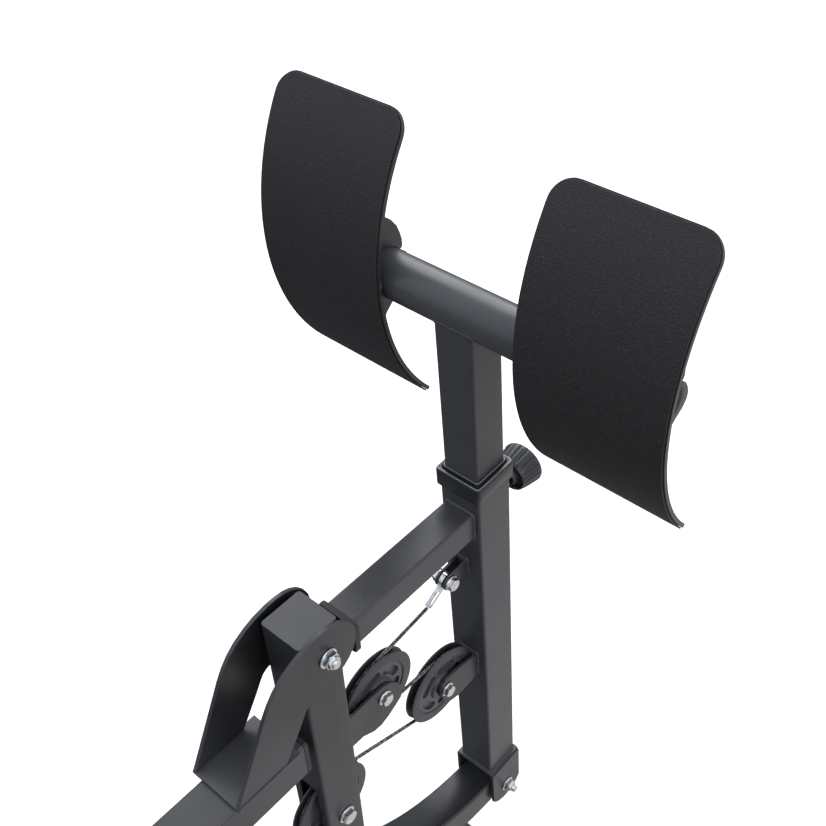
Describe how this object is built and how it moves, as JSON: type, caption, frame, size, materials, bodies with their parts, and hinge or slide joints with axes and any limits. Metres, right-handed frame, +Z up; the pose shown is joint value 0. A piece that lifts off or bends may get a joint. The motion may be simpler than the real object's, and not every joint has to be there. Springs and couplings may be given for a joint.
{
  "type": "leg press station",
  "caption": "Leg press station for a home gym: a hinged press arm with curved foot plates, pulled by a cable over pulleys, on its own tube frame.",
  "frame": {"origin": "on the floor, under the middle of the whole part's width and depth", "axes": "+Z up; +X to the right along the crossbar, seen by the user on the seat side; +Y away from the user, the way the foot plates are pushed"},
  "size_m": [0.53, 0.8634, 1.3292],
  "materials": {
    "powder_coat": "satin",
    "textured_skin": "textured",
    "black_plastic": "matte",
    "rubber": "matte",
    "zinc": "bright",
    "coated_wire": "gloss"
  },
  "bodies": {
    "frame": {"base_tube": "powder_coat", "front_cross_foot": "powder_coat", "rear_foot_left": "powder_coat", "rear_foot_right": "powder_coat", "front_foot_cap_left": "black_plastic", "front_foot_cap_right": "black_plastic", "rear_foot_cap_left": "black_plastic", "rear_foot_cap_right": "black_plastic", "base_end_cap": "black_plastic", "upright": "powder_coat", "front_leg": "powder_coat", "rail_tube": "powder_coat", "rail_end_cap": "black_plastic", "rail_flange": "powder_coat", "saddle_plate": "powder_coat", "gusset_left": "powder_coat", "gusset_right": "powder_coat", "gusset_bolt": "zinc", "lower_tube": "powder_coat", "hinge_bush": "zinc", "stop_bumper": "rubber", "pulley_1_bracket_left": "powder_coat", "pulley_1_bracket_right": "powder_coat", "pulley_1_bolt": "zinc", "pulley_3_bolt": "zinc", "pulley_4_bracket": "powder_coat", "pulley_4_bolt": "zinc", "pull_cable": "coated_wire", "cable_end_fitting": "zinc", "cable_tab": "powder_coat"},
    "press_arm": {"sleeve": "powder_coat", "sleeve_collar": "black_plastic", "post_bushing": "black_plastic", "upper_arm": "powder_coat", "stop_plate": "black_plastic", "clevis": "powder_coat", "hinge_bolt": "zinc", "cable_anchor": "powder_coat", "anchor_bolt": "zinc", "cable_eye": "zinc", "pulley_2_bracket": "powder_coat", "pulley_2_bolt": "zinc", "adjuster_barrel": "zinc"},
    "foot_bar": {"post": "powder_coat", "crossbar": "powder_coat", "crossbar_cap_left": "black_plastic", "crossbar_cap_right": "black_plastic", "foot_plate_left": "powder_coat", "foot_plate_right": "powder_coat", "foot_skin_left": "textured_skin", "foot_skin_right": "textured_skin", "foot_rib_left_inner": "powder_coat", "foot_rib_left_outer": "powder_coat", "foot_rib_right_inner": "powder_coat", "foot_rib_right_outer": "powder_coat"},
    "adjuster": {"adjuster_knob": "black_plastic"},
    "pulley_1_wheel": {"pulley_1": "black_plastic"},
    "pulley_2_wheel": {"pulley_2": "black_plastic"},
    "pulley_3_wheel": {"pulley_3": "black_plastic"},
    "pulley_4_wheel": {"pulley_4": "black_plastic"}
  },
  "joints": [
    {"name": "press_arm_swing", "type": "hinge", "parent": "frame", "child": "press_arm", "pos_m": [0, 0.37039, 0.16866], "axis": [-1, 0, 0], "range_deg": [0, 33], "deforming": ["pull_cable"]},
    {"name": "foot_bar_slide", "type": "slide", "parent": "press_arm", "child": "foot_bar", "axis": [0, -0.0558, 0.9984], "range_m": [-0.15, 0.09]},
    {"name": "adjuster_pull", "type": "slide", "parent": "press_arm", "child": "adjuster", "axis": [0, 0.9984, 0.0558], "range_m": [0, 0.012], "stiffness_N_per_m": 900, "springref_m": -0.004},
    {"name": "pulley_1_spin", "type": "hinge", "parent": "frame", "child": "pulley_1_wheel", "pos_m": [0, 0.134, 0.6693], "axis": [-1, 0, 0], "range_deg": [0, 380]},
    {"name": "pulley_2_spin", "type": "hinge", "parent": "press_arm", "child": "pulley_2_wheel", "pos_m": [0, 0.25166, 0.55464], "axis": [1, 0, 0], "range_deg": [0, 670]},
    {"name": "pulley_3_spin", "type": "hinge", "parent": "frame", "child": "pulley_3_wheel", "pos_m": [0, 0.03735, 0.5327], "axis": [-1, 0, 0], "range_deg": [0, 880]},
    {"name": "pulley_4_spin", "type": "hinge", "parent": "frame", "child": "pulley_4_wheel", "pos_m": [0, -0.06565, 0.1325], "axis": [1, 0, 0], "range_deg": [0, 880]}
  ],
  "couplings": [
    {"joint": "pulley_1_spin", "follows": "press_arm_swing", "ratio": 11.2},
    {"joint": "pulley_2_spin", "follows": "press_arm_swing", "ratio": 19.9},
    {"joint": "pulley_3_spin", "follows": "press_arm_swing", "ratio": 26.1},
    {"joint": "pulley_4_spin", "follows": "press_arm_swing", "ratio": 26.1}
  ]
}
